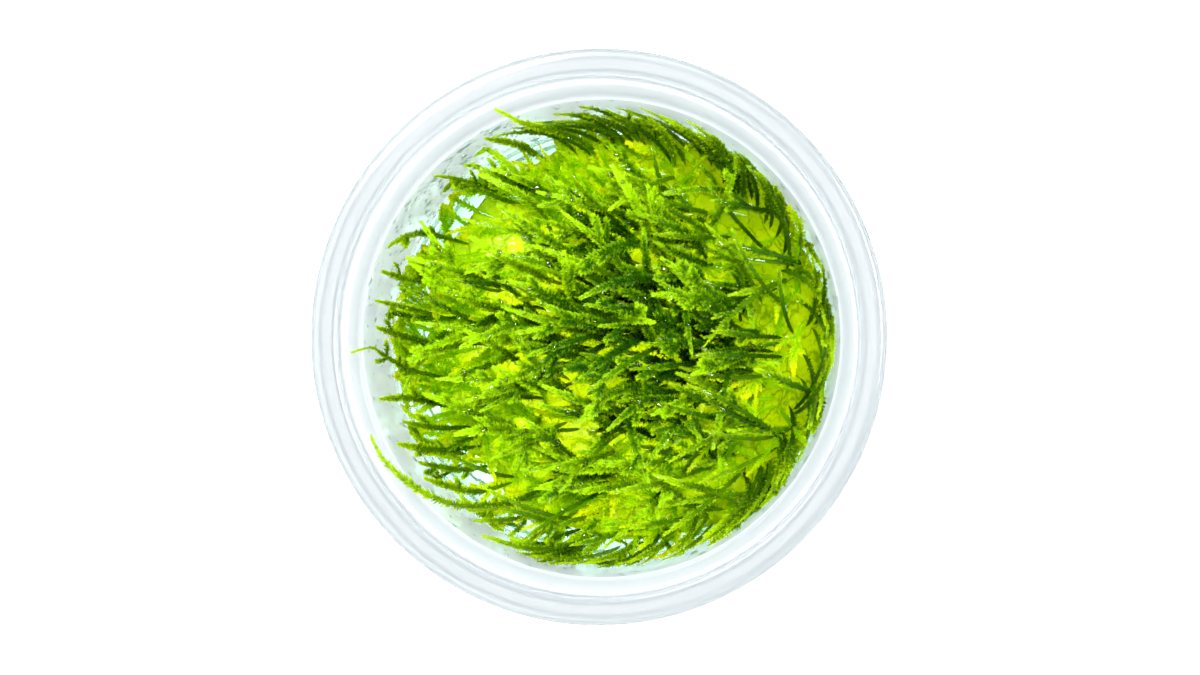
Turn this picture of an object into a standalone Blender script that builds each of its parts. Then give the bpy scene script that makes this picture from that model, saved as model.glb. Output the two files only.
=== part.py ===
"""A clump of aquarium moss growing in a clear, round tissue-culture cup.

The cup is a thin moulded tub with a foot ring, a slightly tapered wall, a ledge for the lid to sit on and
a wide rolled rim. A disc of nutrient gel fills its bottom. A mat of old stems lies on the gel, tufts of upright
leafy shoots stand on the mat, and single long shoots lean out of its edge to the wall and over the ledge.

Frame: metres, +Z up. The origin is the middle of the foot ring, on the surface that the cup stands on.
Every leafy solid is plain: it is the space that the leaves of one tuft or one shoot fill.
"""

import math

import bmesh
import bpy
import numpy as np
from mathutils import Vector

MM = 0.001
GAP = 0.3 * MM  # air between pieces that rest on each other

# The cup's driving dimensions
CUP_HEIGHT = 40.0 * MM
RIM_RADIUS = 35.0 * MM
WALL = 1.0 * MM
FLOOR_TOP = 2.0 * MM
FLOOR_UNDERSIDE = 0.9 * MM
FOOT_OUTER_RADIUS = 26.4 * MM
FOOT_INNER_RADIUS = 24.9 * MM
FLOOR_RADIUS = 25.3 * MM
WALL_FOOT_RADIUS = 27.0 * MM  # inside, where the wall leaves the floor's fillet
WALL_FOOT_HEIGHT = 3.7 * MM
WALL_TOP_RADIUS = 29.35 * MM  # inside, just under the ledge
WALL_TOP_HEIGHT = 34.6 * MM
LEDGE_HEIGHT = 35.15 * MM
NECK_RADIUS = 31.35 * MM  # inside, from the ledge up to the rim
SKIRT_DEPTH = 4.7 * MM
CUP_SEGMENTS = 48

# What grows in it
GEL_TOP = 10.0 * MM
MENISCUS = 0.5 * MM
MAT_CENTRE = Vector((2.2 * MM, 0.3 * MM, 0.0))
MAT_HALF_WIDTH = 24.4 * MM
MAT_HALF_DEPTH = 24.2 * MM
MAT_THICKNESS = 2.7 * MM
TUFT_COUNT = 24
TUFT_SITE_RADIUS = 19.6 * MM
TUFT_FOOT = 13.4 * MM
TUFT_RADIUS = 3.1 * MM
TALLEST_TUFT = 33.5 * MM
SHOOT_RADIUS = 0.8 * MM
GOLDEN_ANGLE = math.radians(137.508)

# Colours
CLEAR_PLASTIC = (0.90, 0.95, 0.96)
PALE_GEL = (0.80, 0.90, 0.78)
OLD_GREEN = (0.42, 0.58, 0.02)
MID_GREEN = (0.10, 0.30, 0.01)
TIP_GREEN = (0.22, 0.48, 0.01)

# The single long shoots, by name: the points that each one passes, root first, in millimetres. They were
# placed by eye to fan out of the clump's edge towards the left, and to keep clear of each other.
LONG_SHOOTS = {
    "top_left_long": [
        (0.4, 22.3, 12.6), (-3.6, 25.2, 22), (-7.6, 26, 31), (-9.8, 26.4, 35.6), (-12.6, 27.9, 37.2),
    ],
    "top_left_mid": [(-6.8, 22, 12.3), (-10.4, 24.2, 24), (-14.2, 24.6, 32)],
    "top_left_low": [(-12.6, 18.6, 12.4), (-17.2, 19.8, 25), (-20.6, 20, 33.6)],
    "left_1": [(-18, 12.6, 12.4), (-23, 13.4, 24), (-26.4, 11.4, 33)],
    "left_2": [(-20.2, 7.6, 12.4), (-24.2, 7.6, 24), (-26.9, 8.2, 33.2)],
    "left_3": [(-20.8, 3.2, 12.4), (-25.2, 4.2, 25), (-27.6, 4.6, 34)],
    "left_4": [(-21, -0.6, 12.4), (-25.4, 0.6, 24), (-27.7, 1.4, 31.5)],
    "left_over_ledge": [
        (-20.8, -4.4, 12.4), (-24.4, -3.6, 24), (-26.8, -2, 33), (-27.9, -1.2, 36.2), (-30.2, -1.8, 37),
    ],
    "left_5": [(-19.8, -8.2, 12.4), (-24.2, -7.2, 24), (-27.2, -7.4, 32.6)],
    "lower_left_1": [(-17.6, -10.6, 12.6), (-21.4, -10.8, 20), (-24.8, -10.2, 28)],
    "lower_left_2": [(-16.4, -13, 12.6), (-20.6, -13.6, 21), (-25, -13, 31.5)],
    "lower_left_3": [(-14.6, -15.4, 12.4), (-18.8, -16, 17.5), (-23.4, -15.2, 23.5)],
    "lower_left_4": [(-12.4, -17.6, 12.6), (-16.8, -18.8, 20), (-22, -17.2, 29.5)],
    "along_ledge": [
        (-9, -19.2, 12.6), (-13, -20.4, 24), (-18, -20.4, 33.6),
        (-22, -18.6, 36.8), (-26, -15.4, 37), (-28, -12.3, 36.9),
    ],
    "bottom_1": [(-6.2, -20.6, 12.6), (-11.4, -22.2, 18), (-16.4, -22.4, 24)],
    "bottom_2": [(0.4, -22.4, 12.4), (-3.8, -25.2, 19), (-9.4, -25.8, 27), (-14.6, -24.2, 33)],
    "bottom_3": [(4.4, -22.8, 12.4), (2.6, -26, 23), (-1.9, -27.6, 32)],
    "bottom_4": [(8.8, -21.8, 12.4), (7.2, -25.2, 24), (3.4, -27.4, 33)],
    "lower_right_1": [(16.6, -18.2, 12.4), (16.8, -21.8, 24), (14.2, -24.8, 33)],
    "lower_right_2": [(21, -13.4, 12.4), (22.4, -16.8, 24), (19.6, -20.6, 32)],
    "right_1": [(24.4, -4.4, 12.4), (26.6, -7.2, 22), (26.4, -11.8, 31)],
    "right_2": [(24.8, 4.6, 12.4), (27.2, 4.6, 21), (28.2, 1.2, 29), (28.3, -3.2, 32)],
    "right_3": [(22.6, 12, 12.4), (25.4, 12, 22), (27.2, 8.6, 31)],
    "top_right_1": [(18.6, 17.6, 12.4), (21.2, 18.2, 22), (21.6, 18.9, 31)],
    "top_right_2": [(13.6, 20.6, 12.4), (12.6, 24.2, 23), (7.4, 27.2, 32.6)],
    "top_1": [(7.4, 22.8, 12.4), (4.6, 26.2, 23), (0.6, 28, 33)],
}
SHOOT_RINGS = 8  # how many rings of points a long shoot's solid has
TUFT_RINGS = 7


def clear_scene():
    for old in list(bpy.data.objects):
        bpy.data.objects.remove(old)


def new_collection(name):
    made = bpy.data.collections.new(name)
    bpy.context.scene.collection.children.link(made)
    return made


def finish(name, colour, roughness):
    """A Principled material of one colour."""
    material = bpy.data.materials.new(name)
    material.use_nodes = True
    shader = material.node_tree.nodes["Principled BSDF"]
    shader.inputs["Base Color"].default_value = (*colour, 1.0)
    shader.inputs["Roughness"].default_value = roughness
    shader.inputs["Metallic"].default_value = 0.0
    return material


def clear_finish(name, colour, roughness, refraction):
    """A see-through material."""
    material = finish(name, colour, roughness)
    shader = material.node_tree.nodes["Principled BSDF"]
    shader.inputs["Transmission Weight"].default_value = 1.0
    shader.inputs["IOR"].default_value = refraction
    return material


def wall_radius(height):
    """The radius of the wall's inner face at a height."""
    slope = (WALL_TOP_RADIUS - WALL_FOOT_RADIUS) / (WALL_TOP_HEIGHT - WALL_FOOT_HEIGHT)
    return WALL_FOOT_RADIUS + (height - WALL_FOOT_HEIGHT) * slope


def arc(centre, radius, start, end, steps):
    """Points on a circular arc, angles in degrees, both ends included."""
    angles = [math.radians(start + (end - start) * i / steps) for i in range(steps + 1)]
    return [(centre[0] + radius * math.cos(a), centre[1] + radius * math.sin(a)) for a in angles]


def turned(name, profile, segments, material, home):
    """A turned solid. The profile is (radius, height) pairs, from the axis on top to the axis below."""
    mesh = bpy.data.meshes.new(name)
    points = [(radius, 0.0, height) for radius, height in profile]
    mesh.from_pydata(points, [(i, i + 1) for i in range(len(points) - 1)], [])
    made = bpy.data.objects.new(name, mesh)
    home.objects.link(made)
    screw = made.modifiers.new("Turn", "SCREW")
    screw.steps = screw.render_steps = segments
    screw.use_merge_vertices = True
    screw.merge_threshold = 0.00001
    screw.use_smooth_shade = True
    mesh.materials.append(material)
    return made


def cup_profile():
    """The cup's section: across the floor's top, up the inside, over the rim, and down the outside."""
    floor_fillet = FLOOR_TOP + 1.7 * MM
    inside = [(0.0, FLOOR_TOP)]
    inside += arc((FLOOR_RADIUS, floor_fillet), 1.7 * MM, -90, -8, 3)
    inside += [
        (WALL_TOP_RADIUS, WALL_TOP_HEIGHT),
        (WALL_TOP_RADIUS + 0.35 * MM, LEDGE_HEIGHT - 0.08 * MM),
        (NECK_RADIUS - 0.35 * MM, LEDGE_HEIGHT),
        (NECK_RADIUS, LEDGE_HEIGHT + 0.35 * MM),
    ]
    rim = arc((NECK_RADIUS + 0.85 * MM, CUP_HEIGHT - 0.7 * MM), 0.7 * MM, 170, 90, 2)
    rim += arc((RIM_RADIUS - 0.7 * MM, CUP_HEIGHT - 0.7 * MM), 0.7 * MM, 90, 0, 3)
    skirt_end = CUP_HEIGHT - SKIRT_DEPTH
    skirt = [
        (RIM_RADIUS, skirt_end + 0.25 * MM),
        (RIM_RADIUS - 0.25 * MM, skirt_end),
        (RIM_RADIUS - 0.65 * MM, skirt_end),
        (RIM_RADIUS - 0.9 * MM, skirt_end + 0.25 * MM),
        (RIM_RADIUS - 0.9 * MM, CUP_HEIGHT - 1.5 * MM),
        (RIM_RADIUS - 1.4 * MM, CUP_HEIGHT - WALL),
        (NECK_RADIUS + 1.4 * MM, CUP_HEIGHT - WALL),
        (NECK_RADIUS + 0.95 * MM, CUP_HEIGHT - 1.4 * MM),
    ]
    outside = [
        (NECK_RADIUS + 0.9 * MM, LEDGE_HEIGHT - 0.3 * MM),
        (NECK_RADIUS + 0.4 * MM, LEDGE_HEIGHT - 0.95 * MM),
        (WALL_TOP_RADIUS + 1.4 * MM, LEDGE_HEIGHT - 1.1 * MM),
        (WALL_TOP_RADIUS + WALL, LEDGE_HEIGHT - 1.5 * MM),
        (FOOT_OUTER_RADIUS + 1.5 * MM, WALL_FOOT_HEIGHT - 1.0 * MM),
        (FOOT_OUTER_RADIUS + 0.9 * MM, 1.0 * MM),
        (FOOT_OUTER_RADIUS + 0.3 * MM, 0.15 * MM),
        (FOOT_OUTER_RADIUS, 0.0),
        (FOOT_INNER_RADIUS, 0.0),
        (FOOT_INNER_RADIUS - 0.3 * MM, 0.3 * MM),
        (FOOT_INNER_RADIUS - 0.5 * MM, FLOOR_UNDERSIDE),
        (0.0, FLOOR_UNDERSIDE),
    ]
    return inside + rim + skirt + outside


def make_cup(home, material):
    return turned("cup", cup_profile(), CUP_SEGMENTS, material, home)


def make_gel(home, material):
    """The gel's disc fills the cup's bottom and climbs a little up the wall."""
    radius = FLOOR_RADIUS
    fillet_height = FLOOR_TOP + 1.7 * MM
    profile = [
        (0.0, GEL_TOP),
        (wall_radius(GEL_TOP) - 1.6 * MM, GEL_TOP),
        (wall_radius(GEL_TOP) - 0.8 * MM, GEL_TOP + 0.3 * MENISCUS),
        (wall_radius(GEL_TOP) - GAP - 0.05 * MM, GEL_TOP + MENISCUS),
    ]
    profile += arc((radius, fillet_height), 1.7 * MM - GAP, -8, -90, 3)
    profile += [(0.0, FLOOR_TOP + GAP)]
    return turned("nutrient_gel", profile, CUP_SEGMENTS, material, home)


def make_mat(home, material):
    """The tangle of old stems: an oval pad, flat below and gently domed on top."""
    mesh = bpy.data.meshes.new("stem_mat")
    shape = bmesh.new()
    bmesh.ops.create_uvsphere(shape, u_segments=32, v_segments=10, radius=1.0)
    foot = GEL_TOP + GAP
    for vertex in shape.verts:
        flat = math.hypot(vertex.co.x, vertex.co.y)
        angle = math.atan2(vertex.co.y, vertex.co.x)
        wobble = 1.0 + 0.012 * math.sin(5 * angle + 1.0) + 0.008 * math.sin(9 * angle)
        share = flat**0.6 * wobble
        height = foot + 0.55 * MAT_THICKNESS * (1 - flat**4)
        if vertex.co.z > 0.01:
            height += 0.45 * MAT_THICKNESS * vertex.co.z
        elif vertex.co.z < -0.01:
            height = foot
        vertex.co.x = MAT_CENTRE.x + MAT_HALF_WIDTH * share * math.cos(angle)
        vertex.co.y = MAT_CENTRE.y + MAT_HALF_DEPTH * share * math.sin(angle)
        vertex.co.z = height + (0.3 * MM if flat > 0.99 else 0.0)
    shape.to_mesh(mesh)
    shape.free()
    mesh.shade_smooth()
    made = bpy.data.objects.new("stem_mat", mesh)
    home.objects.link(made)
    mesh.materials.append(material)
    return made


def leafy_solid(name, spine, radii, sides_setting, home, material):
    """A tapered tube along a spine: a bevelled curve whose thickness changes from point to point."""
    curve = bpy.data.curves.new(name, "CURVE")
    curve.dimensions = "3D"
    curve.bevel_depth = 1.0 * MM
    curve.bevel_resolution = sides_setting
    curve.use_fill_caps = True
    spline = curve.splines.new("POLY")
    spline.points.add(len(spine) - 1)
    for point, place, radius in zip(spline.points, spine, radii):
        point.co = (*place, 1.0)
        point.radius = radius / MM
    curve.materials.append(material)
    made = bpy.data.objects.new(name, curve)
    home.objects.link(made)
    return made


def tuft_sites():
    """Where the tufts stand, spread evenly over the mat as seeds are on a sunflower's head."""
    sites = []
    for k in range(TUFT_COUNT):
        radius = TUFT_SITE_RADIUS * math.sqrt((k + 0.5) / TUFT_COUNT)
        angle = k * GOLDEN_ANGLE + 0.6
        sites.append((2.6 * MM + radius * math.cos(angle), 0.6 * MM + radius * math.sin(angle)))
    return sites


def tuft_spine(x, y):
    """A tuft's middle line: it rises from the mat and leans over, most of all near its tip.

    The tufts in the middle are the tallest. All of them lean to the left, and they fan apart from the middle.
    """
    away = math.hypot(x / MM + 1.0, y / MM - 1.5)
    top = TALLEST_TUFT - (0.35 * away + 0.008 * away**2) * MM
    fan = 0.24 if x > 0 else 0.05
    lean_x = -5.6 * MM + fan * (x - 2.6 * MM)
    lean_y = 1.4 * MM + 0.24 * (y - 0.6 * MM)
    spine = []
    for share in np.linspace(0, 1, TUFT_RINGS):
        height = TUFT_FOOT + (top - TUFT_FOOT) * share
        place = Vector((x + lean_x * share**1.7, y + lean_y * share**1.7, height))
        room = wall_radius(height) - 3.9 * MM
        from_axis = math.hypot(place.x, place.y)
        if from_axis > room:
            place.x *= room / from_axis
            place.y *= room / from_axis
        spine.append(place)
    return spine


def tuft_radii():
    shares = np.linspace(0, 1, TUFT_RINGS)
    widths = np.interp(shares, [0, 0.15, 0.45, 0.75, 0.93, 1], [0.72, 0.9, 1.0, 0.78, 0.42, 0.16])
    return [TUFT_RADIUS * width for width in widths]


def make_tufts(home, material):
    return [
        leafy_solid(f"tuft_{i + 1:02d}", tuft_spine(x, y), tuft_radii(), 2, home, material)
        for i, (x, y) in enumerate(tuft_sites())
    ]


def smooth_route(stops):
    """Points on one smooth curve (Catmull-Rom) through the stops, evenly spaced along it."""
    stops = np.array(stops, float) * MM
    ends = np.vstack([2 * stops[0] - stops[1], stops, 2 * stops[-1] - stops[-2]])
    fine = []
    for a, b, c, d in zip(ends, ends[1:], ends[2:], ends[3:]):
        square, cube = 2 * a - 5 * b + 4 * c - d, 3 * b - a - 3 * c + d
        for t in np.linspace(0, 1, 20):
            fine.append(0.5 * (2 * b + (c - a) * t + square * t**2 + cube * t**3))
    fine = np.array(fine)
    walked = np.concatenate([[0], np.cumsum(np.linalg.norm(np.diff(fine, axis=0), axis=1))])
    even = np.linspace(0, walked[-1], SHOOT_RINGS)
    return [Vector([np.interp(s, walked, fine[:, axis]) for axis in range(3)]) for s in even]


def inside_the_wall(place, radius):
    """A shoot that meets the wall lies along it. Above the ledge it is free to cross the wall's line."""
    if place.z > LEDGE_HEIGHT + 0.45 * MM + radius:
        return place
    room = min(wall_radius(place.z), WALL_TOP_RADIUS) - radius - 0.4 * MM
    from_axis = math.hypot(place.x, place.y)
    if from_axis > room:
        place = Vector((place.x * room / from_axis, place.y * room / from_axis, place.z))
    return place


def make_long_shoots(home, material):
    shares = np.linspace(0, 1, SHOOT_RINGS)
    radii = SHOOT_RADIUS * np.interp(shares, [0, 0.12, 0.5, 0.85, 1], [0.56, 0.88, 1.0, 0.75, 0.38])
    made = []
    for name, stops in LONG_SHOOTS.items():
        route = [inside_the_wall(place, radius) for place, radius in zip(smooth_route(stops), radii)]
        made.append(leafy_solid(f"shoot_{name}", route, radii, 1, home, material))
    return made


def main():
    clear_scene()
    home = new_collection("moss_clump")
    plastic = clear_finish("clear_plastic", CLEAR_PLASTIC, 0.08, 1.49)
    gel = clear_finish("nutrient_gel", PALE_GEL, 0.2, 1.34)
    old_moss = finish("old_moss", OLD_GREEN, 0.6)
    young_moss = finish("young_moss", MID_GREEN, 0.5)
    tip_moss = finish("tip_moss", TIP_GREEN, 0.5)
    make_cup(home, plastic)
    make_gel(home, gel)
    make_mat(home, old_moss)
    make_tufts(home, young_moss)
    make_long_shoots(home, tip_moss)


main()
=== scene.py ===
# %% [markdown]
# # A clump of moss in a clear culture cup
# Plant growers raise aquarium moss in small sealed cups of clear plastic, on a disc of jelly that feeds
# it. This lesson dresses the plain solids of such a cup: the plastic, the jelly, the mat of old stems,
# over a thousand leafy shoots and branches, and the water that settles on the wall and the leaves.
#
# The solids come first. Each one stays as it is for the physics, and one or more pieces made below stand
# in for it, at the same place and size. Only the water has no solid.

# %% Load the solids
import math

import bpy
import numpy as np
from mathutils import Matrix, Vector


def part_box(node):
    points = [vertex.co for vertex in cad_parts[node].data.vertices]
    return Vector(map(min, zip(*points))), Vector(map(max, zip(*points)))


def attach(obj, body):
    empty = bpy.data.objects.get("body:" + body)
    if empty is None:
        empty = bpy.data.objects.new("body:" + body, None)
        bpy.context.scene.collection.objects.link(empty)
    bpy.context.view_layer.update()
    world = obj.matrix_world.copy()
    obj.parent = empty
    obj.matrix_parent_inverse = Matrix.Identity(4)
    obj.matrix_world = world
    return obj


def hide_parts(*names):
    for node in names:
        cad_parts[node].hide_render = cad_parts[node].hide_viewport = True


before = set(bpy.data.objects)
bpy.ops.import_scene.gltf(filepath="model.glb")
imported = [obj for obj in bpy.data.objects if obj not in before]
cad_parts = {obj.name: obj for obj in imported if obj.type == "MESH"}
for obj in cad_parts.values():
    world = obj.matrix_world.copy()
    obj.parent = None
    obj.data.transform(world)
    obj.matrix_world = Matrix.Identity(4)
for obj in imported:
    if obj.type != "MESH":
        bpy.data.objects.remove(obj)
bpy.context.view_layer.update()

MM = 0.001
rng = np.random.default_rng(11)
print(len(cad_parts), "solids")

# %% [markdown]
# ## Driving sizes
# The rim's radius and the height are read from the cup's solid. The other sizes of the cup are a
# moulder's drawing of the same profile, with every wall one millimetre thick.

# %% The cup's sizes
cup_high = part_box("cup")[1]
RIM_RADIUS = cup_high.x
CUP_HEIGHT = cup_high.z
WALL = 1.0 * MM
FLOOR_TOP = 2.0 * MM
FLOOR_RADIUS = 25.3 * MM
FLOOR_FILLET = 1.7 * MM
WALL_FOOT_RADIUS = 27.0 * MM
WALL_FOOT_HEIGHT = 3.7 * MM
WALL_TOP_RADIUS = 29.35 * MM
WALL_TOP_HEIGHT = 34.6 * MM
LEDGE_HEIGHT = 35.15 * MM
NECK_RADIUS = 31.35 * MM
WALL_SLOPE = (WALL_TOP_RADIUS - WALL_FOOT_RADIUS) / (WALL_TOP_HEIGHT - WALL_FOOT_HEIGHT)
GEL_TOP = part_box("stem_mat")[0].z
SHADE_MIDDLE_X, SHADE_MIDDLE_Y = 1.5 * MM, 1 * MM  # the middle of the painted shade, where the thick growth shades the pad and its own lower shoots


def wall_radius(height):
    """The inner wall's radius at a height: it grows evenly from the foot to the ledge."""
    return WALL_FOOT_RADIUS + (height - WALL_FOOT_HEIGHT) * WALL_SLOPE


print(f"rim {2000 * RIM_RADIUS:.1f} mm across, {1000 * CUP_HEIGHT:.1f} mm high")

# %% [markdown]
# ## Camera, light and floor
# A clear cup full of green is best shown on a light table. The camera looks almost straight down, a few
# degrees off the cup's axis, through a long lens. The floor glows, most of all under the cup, so that
# light comes up through the plastic, the jelly and the leaves. Two soft lamps above pick out the upper
# shoots and the wet spots.

# %% Camera
CAMERA_DISTANCE = 600 * MM
VIEW_WIDTH = 145.3 * MM  # what the picture's width takes in, at the rim
SENSOR_WIDTH = 36.0
aim = Vector((0.27 * MM, -0.15 * MM, CUP_HEIGHT))
toward_camera = Vector((math.tan(math.radians(3.5)), -math.tan(math.radians(1.8)), 1)).normalized()
camera_data = bpy.data.cameras.new("camera")
camera_data.sensor_width = SENSOR_WIDTH
camera_data.lens = SENSOR_WIDTH * CAMERA_DISTANCE / VIEW_WIDTH
camera_data.clip_start = 0.01
camera = bpy.data.objects.new("camera", camera_data)
camera.location = aim + CAMERA_DISTANCE * toward_camera
right = Vector((0, 1, 0)).cross(toward_camera).normalized()
camera.rotation_euler = Matrix((right, toward_camera.cross(right), toward_camera)).transposed().to_euler()
bpy.context.scene.collection.objects.link(camera)
bpy.context.scene.camera = camera
bpy.context.scene.view_settings.view_transform = "Standard"
# Light that runs down inside the cup's thin wall is thrown to and fro many times before it leaves.
bpy.context.scene.cycles.max_bounces = 40
bpy.context.scene.cycles.transmission_bounces = 40
bpy.context.scene.cycles.glossy_bounces = 12
print(f"lens {camera_data.lens:.0f} mm")

# %% [markdown]
# ## Writing shaders as sums
# A shader is a graph of small nodes. Built by hand it takes many lines, so two small classes help: `Look`
# is a material being made, with one method that adds any node, and `Value` wraps a socket so that plain
# arithmetic on it adds Math nodes.


# %% Shader helpers
def adds_node(operation):
    """An operator of Value: it adds one Math node between the value and another one or a number."""

    def operator(self, other):
        return self.look.node("ShaderNodeMath", {"operation": operation}, {0: self, 1: other})[0]

    return operator


class Value:
    """A number worked out at each point of a surface."""

    __add__ = adds_node("ADD")
    __sub__ = adds_node("SUBTRACT")
    __mul__ = adds_node("MULTIPLY")
    __truediv__ = adds_node("DIVIDE")
    __lt__ = adds_node("LESS_THAN")
    __gt__ = adds_node("GREATER_THAN")

    def __init__(self, look, socket):
        self.look, self.socket = look, socket


class Look:
    """A material being made."""

    def __init__(self, name, tree=None):
        if tree is None:
            self.material = bpy.data.materials.new(name)
            self.material.use_nodes = True
            tree = self.material.node_tree
        self.tree = tree
        self.tree.nodes.clear()

    def node(self, kind, settings=None, sockets=None):
        """Adds a node, sets it, then fills or links its sockets. Gives its outputs, each as a Value."""
        made = self.tree.nodes.new(kind)
        for key, setting in (settings or {}).items():
            if key == "stops":
                while len(made.color_ramp.elements) < len(setting):
                    made.color_ramp.elements.new(0.5)
                for element, (place, colour) in zip(made.color_ramp.elements, setting):
                    element.position = place
                    element.color = (*colour, 1.0)
            else:
                setattr(made, key, setting)
        for key, given in (sockets or {}).items():
            if isinstance(given, Value):
                self.tree.links.new(given.socket, made.inputs[key])
            elif isinstance(given, tuple) and len(given) == 3 and made.inputs[key].type == "RGBA":
                made.inputs[key].default_value = (*given, 1.0)
            else:
                made.inputs[key].default_value = given
        return [Value(self, socket) for socket in made.outputs]

    def place(self):
        """Object coordinates, as a vector and as x, y and z."""
        vector = self.node("ShaderNodeTexCoord")[3]
        return vector, *self.node("ShaderNodeSeparateXYZ", None, {0: vector})

    def length(self, vector):
        return self.node("ShaderNodeVectorMath", {"operation": "LENGTH"}, {0: vector})[1]

    def from_axis(self, x, y):
        """The distance from the cup's axis."""
        return self.length(self.node("ShaderNodeCombineXYZ", None, {0: x, 1: y})[0])

    def noise(self, vector, scale, detail=2.0, roughness=0.5):
        sockets = {"Vector": vector, "Scale": scale, "Detail": detail, "Roughness": roughness}
        return self.node("ShaderNodeTexNoise", None, sockets)[0]

    def ramp(self, value, stops):
        """A colour, or a grey number, that runs through the stops as the value goes from 0 to 1."""
        return self.node("ShaderNodeValToRGB", {"stops": stops}, {0: value})[0]

    def bump(self, height, distance, strength=1.0):
        sockets = {"Height": height, "Distance": distance, "Strength": strength}
        return self.node("ShaderNodeBump", None, sockets)[0]

    def principled(self, sockets):
        return self.node("ShaderNodeBsdfPrincipled", None, sockets)[0]

    def translucent(self, colour, **more):
        return self.node("ShaderNodeBsdfTranslucent", None, {"Color": colour, **more})[0]

    def mix(self, share, first, second):
        return self.node("ShaderNodeMixShader", None, {0: share, 1: first, 2: second})[0]

    def tinted_depth(self, colour, density):
        """A tint that builds up with depth: `density` is its strength for each metre."""
        sockets = {"Color": colour, "Density": density}
        return self.node("ShaderNodeVolumeAbsorption", None, sockets)[0]

    def finish(self, surface, volume=None):
        sockets = {"Surface": surface}
        if volume:
            sockets["Volume"] = volume
        self.node("ShaderNodeOutputMaterial", None, sockets)
        return self.material


def grey(level):
    return (level, level, level)


# %% Floor, lamp and sky
FLOOR_GLOW = 4.7  # under the cup
FLOOR_FALLOFF = [(0.40, grey(1.0)), (0.54, grey(0.37))]  # the glow's share, from the cup's axis outwards
GLOW_REACH = 50 * MM  # where that ramp ends
FLOOR_SIZE = 4.0
FLOOR_DROP = 0.2 * MM  # keeps the floor clear of the cup's foot
LAMPS = {  # where each softbox stands, in metres, and its power
    "softbox_left": ((-0.12, 0.16, 0.58), 3.7),
    "softbox_right": ((0.17, 0.06, 0.56), 3.3),
}
LAMP_SIZE = 0.16
SKY_TOP = (0.21, 0.22, 0.21)
SKY_EDGE = (0.62, 0.67, 0.71)


def light_table():
    """White everywhere, and strongest under the cup, where the table's lamp stands."""
    look = Look("glowing_floor")
    vector = look.place()[0]
    glow = look.ramp(look.length(vector) / GLOW_REACH, FLOOR_FALLOFF)
    shine = {"Base Color": grey(0.05), "Roughness": 0.9, "Specular IOR Level": 0.0}
    shine |= {"Emission Color": glow, "Emission Strength": FLOOR_GLOW}
    return look.finish(look.principled(shine))


def soft_sky():
    """The sky around is a plain soft grey, darker overhead, so that wet leaves stay deep green."""
    world = bpy.data.worlds.new("sky")
    world.use_nodes = True
    look = Look("sky", world.node_tree)
    up = look.node("ShaderNodeSeparateXYZ", None, {0: look.node("ShaderNodeTexCoord")[0]})[2]
    colour = look.ramp(up, [(0.0, SKY_EDGE), (0.7, SKY_TOP)])
    light = look.node("ShaderNodeBackground", None, {"Color": colour, "Strength": 1.0})[0]
    look.node("ShaderNodeOutputWorld", None, {"Surface": light})
    bpy.context.scene.world = world


bpy.ops.mesh.primitive_plane_add(size=FLOOR_SIZE, location=(0, 0, -FLOOR_DROP))
floor = bpy.context.object
floor.name = "floor"
floor.data.materials.append(light_table())
soft_sky()
for name, (spot, power) in LAMPS.items():
    lamp_data = bpy.data.lights.new(name, "AREA")
    lamp_data.shape = "DISK"
    lamp_data.size = LAMP_SIZE
    lamp_data.energy = power
    lamp = bpy.data.objects.new(name, lamp_data)
    lamp.location = spot
    lamp.rotation_euler = (lamp.location - aim).to_track_quat("Z", "Y").to_euler()
    bpy.context.scene.collection.objects.link(lamp)
print("light table, softboxes and sky are set")

# %% [markdown]
# ## Surfaces from arrays
# Every piece here is round, long or leafy, so two helpers do most of the work. `skin` covers stacks of
# rings with triangles and closes both ends to a point. `add_piece` puts points and triangles into a mesh
# in one go.


# %% Mesh helpers
def unit(vectors):
    return vectors / np.maximum(np.linalg.norm(vectors, axis=-1, keepdims=True), 1e-12)


def toward(angle, radius=1.0):
    """The level point at an angle and a distance."""
    return np.stack([radius * np.cos(angle), radius * np.sin(angle)], -1)


def left_of(direction):
    """The level direction a quarter turn to the left of another."""
    return np.stack([-direction[:, 1], direction[:, 0]], -1)


def with_height(flat, height):
    return np.concatenate([flat, height[..., None]], -1)


def skin(rings):
    """Closed skins over stacks of rings.

    `rings` has the shape (pieces, rings, points, 3). Each piece's first and last ring are points on its
    axis. Neighbouring rings are joined by two triangles a side, and each end by a fan. Faces point
    outwards when the rings run from the top of the axis out and down, and their points run anticlockwise
    seen from above.
    """
    count, stack, around, _ = rings.shape
    ends = rings[:, [0, -1], 0]
    points = np.concatenate([rings[:, 1:-1].reshape(count, -1, 3), ends], axis=1)
    inner = (stack - 2) * around
    j = np.arange(around)
    k = (j + 1) % around
    i = np.arange(stack - 3)[:, None] * around
    below = i + around
    sides = np.stack(
        [np.stack([i + j, below + j, below + k], -1), np.stack([i + j, below + k, i + k], -1)], 2
    ).reshape(-1, 3)
    first = np.stack([np.full(around, inner), j, k], -1)
    last_ring = inner - around
    last = np.stack([last_ring + j, np.full(around, inner + 1), last_ring + k], -1)
    one = np.concatenate([sides, first, last])
    shift = np.arange(count)[:, None, None] * (inner + 2)
    return points.reshape(-1, 3), (one[None] + shift).reshape(-1, 3)


def join(*parts):
    """Several (points, triangles, tone) sets as one."""
    points, triangles, tones = zip(*parts)
    shifts = np.cumsum([0] + [len(some) for some in points[:-1]])
    shifted = [some + shift for some, shift in zip(triangles, shifts)]
    return np.concatenate(points), np.concatenate(shifted), np.concatenate(tones)


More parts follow.
